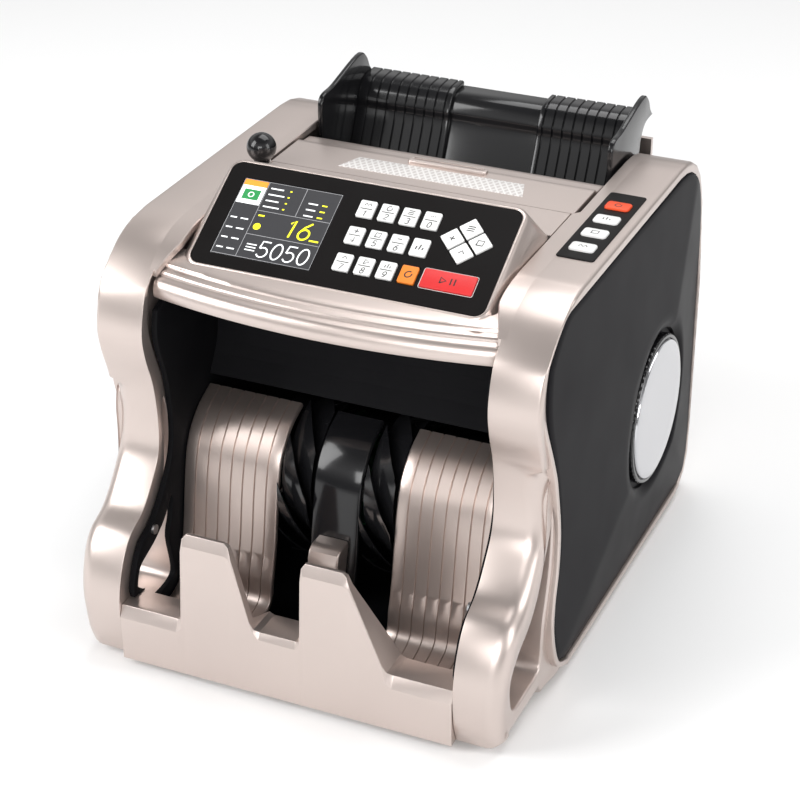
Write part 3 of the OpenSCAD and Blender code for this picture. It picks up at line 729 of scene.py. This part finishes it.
feed_path = [(181.3, 232), (216.4, 232), (217.4, 231.6), (218.6, 229.9), (219.6, 229.5), (230.5, 228.8),
             (233.2, 227.8), (234.8, 225.6), (236.4, 214), (238.4, 200.6), (237, 200), (235.6, 200.6),
             (233.4, 214), (231.6, 225.2), (219, 226.2), (181.3, 228.8)]
deck_plate("feed_plate", feed_path, 91.2, 0.7, "hopper_front_plate")
deck_plate("front_deck", [(150, 232), (180.9, 232), (180.9, 228.8), (150, 228.8)], 89.6, 0.4, "top_cover")


def raised_pad(name, outline, top, thickness, radius, material, *nodes):
    piece(name, profile_solid(outline, [], top - thickness, top, 0, radius, on_deck), material, *nodes)


# finger notch in the step of the feed plate, with a raised rim in front of it
notch_rim = profile_solid(round_rect(48, 6.2, 2.2, centre=(4.5, 213.2)),
                          [round_rect(42, 1.6, 0.7, centre=NOTCH_AT)], -0.6, 1.7, 0, 0.9, on_deck)
piece("feed_notch_rim", notch_rim, "silver")
raised_pad("feed_notch_floor", round_rect(42.4, 2.0, 0.9, centre=NOTCH_AT), 0.12, 0.5, 0.05, "chassis")


def hatched_strip():
    """Pale translucent strip with a fine diamond emboss across the deck."""
    MAT["hatched"], nt, p, co = new_material("hatched_strip", (0.80, 0.77, 0.75), 0.25, 0.3, (0.5, 0.15))
    wave = []
    for direction in (1, -1):
        mapping = nt.nodes.new("ShaderNodeMapping")
        mapping.inputs["Rotation"].default_value = (0, 0, math.radians(32 * direction))
        nt.links.new(co, mapping.inputs["Vector"])
        w = nt.nodes.new("ShaderNodeTexWave")
        w.inputs["Scale"].default_value = 95
        nt.links.new(mapping.outputs["Vector"], w.inputs["Vector"])
        wave.append(w.outputs["Fac"])
    top = nt.nodes.new("ShaderNodeMath")
    top.operation = "MAXIMUM"
    nt.links.new(wave[0], top.inputs[0])
    nt.links.new(wave[1], top.inputs[1])
    tone = colour_ramp(nt, top.outputs["Value"], (0.62, 0.58, 0.56), (0.86, 0.84, 0.82), 0.55, 0.98)
    nt.links.new(tone, p.inputs["Base Color"])
    add_bump(nt, p, top.outputs["Value"], 0.35, 0.0002)
    raised_pad("hatched_strip", [(-53, 190), (58, 191), (53, 207.5), (-47, 206.5)], 0.25, 0.8, 0.2, "hatched")


hatched_strip()


# -------------------- panel bezel

def shoulder_height(y):
    """Height of the shoulder's surface beside the panel."""
    best = None
    for a, b in zip(arm_curve, arm_curve[1:]):
        if a[1] > 205 and min(a[0], b[0]) <= y <= max(a[0], b[0]) and a[0] != b[0]:
            best = a[1] + (b[1] - a[1]) * (y - a[0]) / (b[0] - a[0])
    return best if best is not None else DECK


def bow(x, deep):
    """The front edge stands forward in the middle."""
    return -deep * (1 - (x / LIP_HALF) ** 2)


def panel_bezel():
    """Raised rim round the panel, falling away to the shoulders."""
    def grown(d):
        return round_rect(PANEL_W + 0.7 + 2 * d, PANEL_H + 0.7 + 2 * d, PANEL_R + d, 8, (0, PANEL_H / 2))

    rings = [[on_panel(height, a, b) for a, b in grown(d)] for height, d in (
        (-1.6, 0.0), (0.0, 0.0), (0.2, 0.25), (0.2, 0.8), (-0.4, 1.6), (-1.8, 2.7))]
    foot = []
    for a, b in grown(3.0):
        u = clamp(a / (PANEL_W / 2 + 3), -1.0)
        v = clamp((b + 3) / (PANEL_H + 6))
        y = 62.0 + v * 91.5
        x = u * (89.4 + 1.6 * (1 - v))
        z = shoulder_height(max(y, 56)) - 0.4
        if v < 0.12:
            z = min(z, 217.2)
        foot.append(V(x, y + (bow(x, 3.0) if v < 0.2 else 0.0), z))
    rings += [[p.lerp(q, 0.5) for p, q in zip(rings[-1], foot)], foot]
    piece("panel_bezel_shell", loft(rings, close_ends=False), "silver", "panel_bezel", angle=50)


def panel_lip():
    """Stepped lip that bows forward over the stacker."""
    lip_profile = [(72, 220.0), (66.8, 218.4), (65.2, 217.6), (64.6, 216.6), (64.4, 215.6), (63.2, 215.0),
                   (61.4, 214.6), (60.6, 213.8), (60.3, 212.6), (59.4, 212.1), (58.0, 211.9), (56.2, 211.0),
                   (54.8, 209.2), (54.0, 206.6), (53.9, 203.8), (54.6, 201.9), (56.2, 201.0), (60, 200.9),
                   (80, 201.2), (86, 212), (80, 220)]
    sections = []
    count = 60
    for i in range(count + 1):
        x = LIP_HALF * (2 * i / count - 1)
        sink = 1 - min(1.0, (LIP_HALF - abs(x)) / 1.2)
        row = []
        for y, z in lip_profile:
            share = clamp((72 - y) / 8.0)
            row.append(V(x, y + bow(x, 11.0) * share + sink * 0.8 * share, z - sink * 0.4 * share))
        sections.append(row)
    piece("panel_lip", loft(sections), "silver", angle=28)


panel_bezel()
panel_lip()


# -------------------- stacker wheels

def blade_loop(lead):
    """Outline of one long swept finger of a stacker wheel, thinning to its tip."""
    steps = 24
    spine = []
    for k in range(steps + 1):
        r = 11 + (STACKER_R - 11.9) * (k / steps) ** 0.85
        a = math.radians(lead - 118 * (k / steps) ** 1.35)
        spine.append(Vector((r * math.cos(a), r * math.sin(a))))
    fore, aft = [], []
    for k, p in enumerate(spine):
        t = (spine[min(k + 1, steps)] - spine[max(k - 1, 0)]).normalized()
        half = 0.95 - 0.5 * k / steps
        fore.append((p.x + t.y * half, p.y - t.x * half))
        aft.append((p.x - t.y * half, p.y + t.x * half))
    return fore + aft[::-1]


def stacker_wheel(side, mirror):
    """Ten fingers, each twisted along the shaft, on a hub. Both wheels twist the same way."""
    x0, x1 = STACKER_X
    bm = bmesh.new()
    for blade in range(10):
        sections = []
        for k in range(13):
            loop = blade_loop(blade * 36 + (-46 if mirror else 46) * k / 12)
            sections.append([V(x0 + (x1 - x0) * k / 12, STACKER[0] + p[0], STACKER[1] + p[1]) for p in loop])
        loft(sections, bm=bm)
    hub = [(x0, 3.1), (x0, 9), (16.6, 12.6), (17.4, 13), (33, 13), (33.6, 12.6), (x1, 9), (x1, 3.1)]
    lathe_x(hub, STACKER, 64, bm=bm)
    piece(side + "_stacker_fan", bm, "gloss", side + "_stacker_wheel", body="stacker", angle=40,
          mirror=mirror)


for side, mirror in SIDES:
    stacker_wheel(side, mirror)


# -------------------- inner walls, liner, sensor block

wall_front = [p for p in side_offset(arm_curve, 9.0) if 42 < p[1] < 196]
wall_loop = resample([(309, 10), (20.4, 10), (20.4, 38.4), (11, 38.4)] + wall_front
                     + [(66, 199.5), (110, 199.5), (156, 222), (240, 222), (262, 200), (309, 200)], 5.0)
wall_hole = smooth(WALL_OPENING, 4, loop=True)
for side, mirror in SIDES:
    wall = profile_solid(wall_loop, [wall_hole], 94.3, 97.7, 0.5, 0.3, steps=3)
    piece(side + "_chassis_wall", wall, "chassis", side + "_inner_wall", angle=40, mirror=mirror)

block_edge = [(50.4, 24), (51.8, 62), (53.5, 66.6), (57.5, 69), (66.5, 69), (67, 66), (64, 54), (60, 38),
              (55, 24)]
block = profile_solid(resample(block_edge, 3), [], -9, 9, 1.2, 1.2)
piece("sensor_block_shell", block, "guide", "sensor_block")
lens = lathe_x([(4, 0.02), (8.2, 0.02), (9.25, 1.2), (9.3, 2.2), (9.1, 2.5), (4, 2.5)], (56, 52), 32)
piece("sensor_lens", lens, "screen")


# -------------------- shoulder keypad and knob

raised_pad("shoulder_key_plate", round_rect(21, 89, 2.0, centre=(SIDE_KEYS_X, 172)), 0.6, 1.5, 0.3, "overlay",
           "side_keypad_plate")


def thickness_knob():
    """Ball on a collar, turned about a vertical axis."""
    profile = [(-4.0, 2.9), (0.3, 2.9), (0.3, 4.2), (0.6, 4.5), (1.7, 4.5)]
    for degrees in range(-62, 91, 6):
        a = math.radians(degrees)
        profile.append((KNOB_CENTRE + KNOB_R * math.sin(a), KNOB_R * math.cos(a)))
    rows = []
    for k in range(64):
        turn = 2 * math.pi * k / 64
        rows.append([V(KNOB_AT[0] + max(r, 0.01) * math.cos(turn), KNOB_AT[1] + max(r, 0.01) * math.sin(turn),
                       DECK + h) for h, r in profile])
    piece("thickness_knob_ball", revolve(rows, bmesh.new(), 1e-5), "gloss", "thickness_knob", body="knob",
          angle=50)


thickness_knob()


# -------------------- printed marks

def marks(name, strokes, width, material, slot=None, to3d=on_panel, height=0.0, body=BODY):
    """Flat marks made of thick lines: each stroke is a list of 2D points in millimetres."""
    bm = bmesh.new()
    for stroke in strokes:
        pts = [Vector(p) for p in stroke]
        last = len(pts) - 1
        left, right = [], []
        for i, p in enumerate(pts):
            t = (pts[min(i + 1, last)] - pts[max(i - 1, 0)]).normalized()
            n = Vector((-t[1], t[0])) * width / 2
            left.append(bm.verts.new(to3d(height, *(p + n))))
            right.append(bm.verts.new(to3d(height, *(p - n))))
        for i in range(last):
            bm.faces.new((right[i], right[i + 1], left[i + 1], left[i]))
    piece(name, bm, material, body=body, slot=slot)


def arc(cx, cy, rx, ry, a0, a1, n=9):
    return [(cx + rx * math.cos(math.radians(a0 + (a1 - a0) * k / n)),
             cy + ry * math.sin(math.radians(a0 + (a1 - a0) * k / n))) for k in range(n + 1)]


# digits on a cell 0.6 wide and 1 high, centred
GLYPHS = {
    "0": [arc(0, 0, 0.27, 0.48, 90, 450, 20)],
    "1": [[(-0.16, 0.28), (0.04, 0.48), (0.04, -0.5)]],
    "2": [arc(0, 0.22, 0.26, 0.26, 170, -20, 9) + [(-0.28, -0.48), (0.28, -0.48)]],
    "3": [arc(-0.02, 0.24, 0.25, 0.24, 150, -90, 9), arc(-0.02, -0.24, 0.28, 0.26, 90, -150, 9)],
    "4": [[(0.12, -0.5), (0.12, 0.48), (-0.28, -0.2), (0.3, -0.2)]],
    "5": [[(0.24, 0.48), (-0.2, 0.48), (-0.24, 0.06)] + arc(-0.02, -0.18, 0.28, 0.3, 130, -150, 10)],
    "6": [[(0.18, 0.48), (-0.1, 0.2)] + arc(0, -0.2, 0.27, 0.29, 160, 520, 18)],
    "7": [[(-0.26, 0.48), (0.27, 0.48), (-0.06, -0.5)]],
    "8": [arc(0, 0.25, 0.22, 0.23, -90, 270, 14), arc(0, -0.24, 0.27, 0.26, 90, 450, 14)],
    "9": [arc(0, 0.2, 0.27, 0.29, -20, 340, 18), [(0.27, 0.12), (0.1, -0.3), (-0.14, -0.5)]],
    "+": [[(-0.3, 0), (0.3, 0)], [(0, -0.3), (0, 0.3)]],
    "-": [[(-0.3, 0), (0.3, 0)]],
    "bars": [[(-0.34, -0.3), (-0.34, 0.1)], [(0, -0.3), (0, 0.3)], [(0.34, -0.3), (0.34, 0.0)]],
    "ring": [arc(0, 0, 0.34, 0.34, 60, 380, 14)],
    "wave": [[(-0.45, -0.1), (-0.25, 0.25), (0, -0.1), (0.25, 0.25), (0.45, -0.1)]],
    "box": [[(-0.34, -0.3), (0.34, -0.3), (0.34, 0.3), (-0.34, 0.3), (-0.34, -0.34)]],
    "up": [[(-0.3, -0.1), (0, 0.28), (0.3, -0.1)]],
    "stack": [[(-0.4, 0.26), (0.4, 0.26)], [(-0.4, 0), (0.4, 0)], [(-0.4, -0.26), (0.4, -0.26)]],
    "dots": [[(-0.34, 0), (-0.2, 0)], [(-0.07, 0), (0.07, 0)], [(0.2, 0), (0.34, 0)]],
    "tri": [[(-0.25, -0.32), (0.35, 0), (-0.25, 0.32), (-0.25, -0.36)]],
}


def glyph(which, cx, cy, size, slant=0.0):
    return [[(cx + (a + b * slant) * size, cy + b * size) for a, b in stroke] for stroke in GLYPHS[which]]


# -------------------- keys

KEY_TOP, SIDE_KEY_TOP = 0.9, 1.8
KEY_PITCH = (12.3, 17.4)
FIRST_KEY = (0.4, 16.4)
CROSS_AT, CROSS_STEP = (60, 42.8), 5.5
START_AT = (59.5, 16.6)
SLANT = 0.18
PAD = [("key_1", 0, 0, "wave", "1"), ("key_2", 1, 0, "ring", "2"), ("key_3", 2, 0, "stack", "3"),
       ("key_0", 3, 0, "dots", "0"), ("key_4", 0, 1, "+", "4"), ("key_5", 1, 1, "box", "5"),
       ("key_6", 2, 1, "-", "6"), ("key_mode", 3, 1, "bars", None), ("key_7", 0, 2, "up", "7"),
       ("key_8", 1, 2, "tri", "8"), ("key_9", 2, 2, "bars", "9"), ("key_clear", 3, 2, "ring", None)]


def key(name, outline, material, strokes, line, top=KEY_TOP, depth=4.8, to3d=on_panel, radius=0.35):
    """Key cap with the marks on it; both move with the key."""
    body = "body_" + name
    cap = profile_solid(outline, [], top - depth, top, 0, radius, to3d, 3)
    piece(name + "_cap", cap, material, name, body=body)
    marks(name + "_marks", strokes, line, "ink", SLOTS[material], to3d, top + 0.02, body)


for name, col, row, sign, digit in PAD:
    cx, cy = FIRST_KEY[0] + col * KEY_PITCH[0], FIRST_KEY[1] + (2 - row) * KEY_PITCH[1]
    strokes = glyph(sign, cx + 0.2, cy + (2.6 if digit else 0.0), 4.2 if digit else 5.4, SLANT)
    if digit:
        strokes += [[(cx - 3.4, cy), (cx + 3.4, cy)]] + glyph(digit, cx, cy - 2.9, 3.6, SLANT)
    key(name, round_rect(9.3, 10.8, 0.9, 5, (cx, cy)), "orange" if name == "key_clear" else "white", strokes,
        0.5 if digit else 0.7)

for name, degrees, sign in (("key_up", 45, "stack"), ("key_left", 135, "+"), ("key_down", 225, "up"),
                            ("key_right", 315, "box")):
    c, s = math.cos(math.radians(degrees)), math.sin(math.radians(degrees))
    cx, cy = CROSS_AT[0] + CROSS_STEP * (c - s), CROSS_AT[1] + CROSS_STEP * (s + c)
    turned = [(cx + a * c - b * s, cy + a * s + b * c) for a, b in round_rect(9.7, 9.7, 0.7, 5)]
    key(name, turned, "white", glyph(sign, cx, cy, 5.0, SLANT), 0.6)

play = glyph("tri", 56.5, START_AT[1], 5.2)
pause = [[(61, 14.6), (61, 18.6)], [(63.2, 14.6), (63.2, 18.6)]]
key("key_start", round_rect(29, 11.6, 0.9, 5, START_AT), "red", play + pause, 0.8)
outline = round_rect(29.9, 12.5, 1.2, 5, START_AT)
marks("start_outline", [outline + outline[:2]], 0.35, "pale_ink", height=0.03)

for i, (y, sign) in enumerate(zip(SIDE_KEYS_Y, ("ring", "bars", "box", "wave"))):
    key(f"side_key_{i + 1}", round_rect(14, 9.6, 2.2, 6, (SIDE_KEYS_X, y)), "white" if i else "scarlet",
        glyph(sign, SIDE_KEYS_X, y, 5.4), 0.6, SIDE_KEY_TOP, 4.2, on_deck, 0.7)


# -------------------- screen

SCREEN_AT = (-44.7, 32.8)
SCREEN_W, SCREEN_H = 58.5, 50.5
SCREEN_FACE = -0.12  # below the panel's face
EDGE = 0.6


def screen_rect(name, x0, y0, x1, y1, material, lift):
    bm = bmesh.new()
    corners = ((x0, y0), (x1, y0), (x1, y1), (x0, y1))
    bm.faces.new([bm.verts.new(on_panel(SCREEN_FACE + lift, *p)) for p in corners])
    piece(name, bm, material)


def screen_marks(name, strokes, width, material, lift=0.03):
    marks(name, strokes, width, material, height=SCREEN_FACE + lift)


def number(digits, x, y, pitch, size, slant):
    return [s for k, d in enumerate(digits) for s in glyph(d, x + k * pitch, y, size, slant)]


def screen():
    left, right = SCREEN_AT[0] - SCREEN_W / 2, SCREEN_AT[0] + SCREEN_W / 2
    low, high = SCREEN_AT[1] - SCREEN_H / 2, SCREEN_AT[1] + SCREEN_H / 2
    x0, x1, y0, y1 = left + EDGE, right - EDGE, low + EDGE, high - EDGE
    column, mid, split = left + 15.2, low + 31.2, low + 15.6
    edge = round_rect(SCREEN_W, SCREEN_H, 0.8, 5, SCREEN_AT)
    glass = profile_solid(edge, [], -1.6, -0.15, 0, 0.2, on_panel)
    piece("screen_window", glass, "screen", "display_module")
    screen_rect("screen_field", x0, y0, x1, y1, "lit_field", 0)
    screen_marks("screen_grid", [
        [(x0, y0), (x1, y0), (x1, y1), (x0, y1), (x0, low + 0.3)], [(column, y0), (column, y1)],
        [(column, mid), (x1, mid)], [(column, split), (x1, split)], [(left + 37.5, mid), (left + 37.5, y1)]],
        0.32, "lit_grey", 0.02)
    screen_marks("screen_total", number("5050", column + 13.6, low + 7.6, 7.7, 10.4, 0.06), 0.85, "lit_white")
    screen_marks("screen_total_sign", glyph("stack", column + 6.0, low + 7.6, 7.2), 0.7, "lit_white")
    screen_marks("screen_count", number("16", column + 23.6, split + 7.8, 8.0, 11.2, 0.1), 1.1, "lit_yellow")
    ring = [arc(column + 4.0, split + 5.4, r, r, 0, 360, n) for r, n in ((1.7, 16), (0.6, 10))]
    screen_marks("screen_count_ring", ring, 0.9, "lit_yellow")
    units = [[(right - 7.6, split + 2.6), (right - 2.2, split + 2.6)],
             [(column + 2.0, split + 12.6), (column + 5.6, split + 12.6)]]
    screen_marks("screen_units", units, 1.0, "lit_yellow")
    bars, values = [], []
    for r in range(4):
        y = high - 4.2 - r * 4.0
        bars.append([(column + 2.0, y), (column + 9.6 + (r % 2) * 1.8, y)])
        values.append([(column + 13.4, y), (column + 14.6, y)])
        if r:
            bars.append([(left + 41.5, y - 1.2), (left + 47.0, y - 1.2)])
            values.append([(left + 49.5, y - 1.2), (left + 52.5, y - 1.2)])
    for r in range(4):
        y = low + 4.6 + r * 6.6
        bars += [[(left + 2.2, y), (left + 6.0, y)], [(left + 8.2, y), (left + 12.6, y)]]
    screen_marks("screen_small_bars", bars, 0.8, "lit_white")
    screen_marks("screen_small_values", values, 0.8, "lit_yellow")
    # generic tile: a note with a round mark, below a colour band
    screen_rect("tile_white", left + 0.9, high - 16.4, column - 0.5, high - 0.9, "lit_white", 0.03)
    screen_rect("tile_orange", left + 0.9, high - 4.6, column - 0.5, high - 0.9, "lit_orange", 0.05)
    screen_rect("tile_note", left + 3.0, high - 13.6, column - 2.6, high - 7.0, "lit_green", 0.05)
    coin = arc((left + column) / 2 + 0.1, high - 10.3, 1.5, 1.5, 0, 360, 18)
    screen_marks("tile_coin", [coin], 0.6, "lit_white", 0.07)


screen()


# -------------------- finishes of the CAD nodes that stay

KEPT = {"base_tray": "chassis", "cavity_liner": "chassis", "panel_overlay": "overlay", "rear_cover": "silver",
        "power_inlet": "chassis", "rubber_feet": "foot", "main_board": "board", "power_supply": "steel",
        "drive_motor": "steel", "shaft_bearings": "steel", "cover_screws": "steel", "drive_shaft": "steel",
        "drive_rollers": "rubber", "pickup_rollers": "rubber", "stacker_shaft": "steel",
        "power_rocker": "gloss"}
for node_name, material in KEPT.items():
    node = NODES[node_name]
    node.data.materials.clear()
    node.data.materials.append(MAT[material])
    if node_name not in ("main_board", "panel_overlay"):
        bevel(node, 0.35, 2, 30)


# -------------------- floor, light and camera

WORLD_STOPS = [(0.0, 0.6), (0.44, 0.55), (0.50, 0.14), (0.56, 0.25), (0.70, 0.85), (0.80, 0.6),
               (0.90, 0.22), (1.0, 0.2)]  # brightness from straight down to straight up
LIGHTS = [("key_left", (-1.3, -1.0, 1.1), (0.9, 1.2), 21),
          ("front_strip", (0.35, -1.7, 0.75), (1.0, 0.6), 12),
          ("top_soft", (0.1, 0.6, 1.7), (1.4, 1.2), 18),
          ("right_soft", (1.7, -0.3, 0.8), (0.7, 1.1), 9)]
LIGHT_TARGET = Vector((0, 0, 0.12))
SENSOR, FOCAL_WIDTHS = 36, 2167.5 / 800
CAMERA_AT = (0.4375, -0.992, 0.7094)
CAMERA_YAW, CAMERA_PITCH = math.radians(23.83), math.radians(28.98)


def studio_world():
    world = bpy.data.worlds.new("studio")
    world.use_nodes = True
    nt = world.node_tree
    co = nt.nodes.new("ShaderNodeTexCoord")
    split = nt.nodes.new("ShaderNodeSeparateXYZ")
    r = nt.nodes.new("ShaderNodeValToRGB")
    elements = r.color_ramp.elements
    elements[0].position, elements[1].position = WORLD_STOPS[0][0], WORLD_STOPS[-1][0]
    for position, value in WORLD_STOPS[1:-1]:
        elements.new(position)
    for e, (position, value) in zip(elements, WORLD_STOPS):
        e.color = (value, value, value, 1)
    remap = nt.nodes.new("ShaderNodeMapRange")
    remap.inputs["From Min"].default_value = -1
    background = nt.nodes["Background"]
    background.inputs["Strength"].default_value = 1.0
    nt.links.new(co.outputs["Generated"], split.inputs["Vector"])
    nt.links.new(split.outputs["Z"], remap.inputs["Value"])
    nt.links.new(remap.outputs["Result"], r.inputs["Fac"])
    nt.links.new(r.outputs["Color"], background.inputs["Color"])
    return world


def stage():
    scene = bpy.context.scene
    bpy.ops.mesh.primitive_plane_add(size=12, location=(0, 2, 0))
    floor = bpy.context.object
    floor.name = "floor"
    floor.data.materials.append(finish("floor_paper", (0.9, 0.9, 0.9), (0.92, 0.92, 0.92), 0.0, (0.8, 0.85),
                                       NO_COAT, 1, (300, 0.02, 0.0001)))
    scene.world = studio_world()
    scene.view_settings.view_transform = "Standard"

    for name, where, size, power in LIGHTS:
        light = bpy.data.lights.new(name, "AREA")
        light.shape, light.size, light.size_y, light.energy = "RECTANGLE", size[0], size[1], power
        lamp = bpy.data.objects.new(name, light)
        scene.collection.objects.link(lamp)
        lamp.location = where
        lamp.rotation_euler = (LIGHT_TARGET - Vector(where)).to_track_quat("-Z", "Y").to_euler()

    camera = bpy.data.cameras.new("camera")
    camera.sensor_width = SENSOR
    camera.lens = SENSOR * FOCAL_WIDTHS
    o = bpy.data.objects.new("camera", camera)
    scene.collection.objects.link(o)
    level = math.cos(CAMERA_PITCH)
    forward = Vector((-math.sin(CAMERA_YAW) * level, math.cos(CAMERA_YAW) * level, -math.sin(CAMERA_PITCH)))
    across = Vector((math.cos(CAMERA_YAW), math.sin(CAMERA_YAW), 0))
    up = across.cross(forward)
    o.matrix_world = Matrix([(*axes, at) for axes, at in zip(zip(across, up, -forward), CAMERA_AT)]
                            + [(0, 0, 0, 1)])
    scene.camera = o


stage()
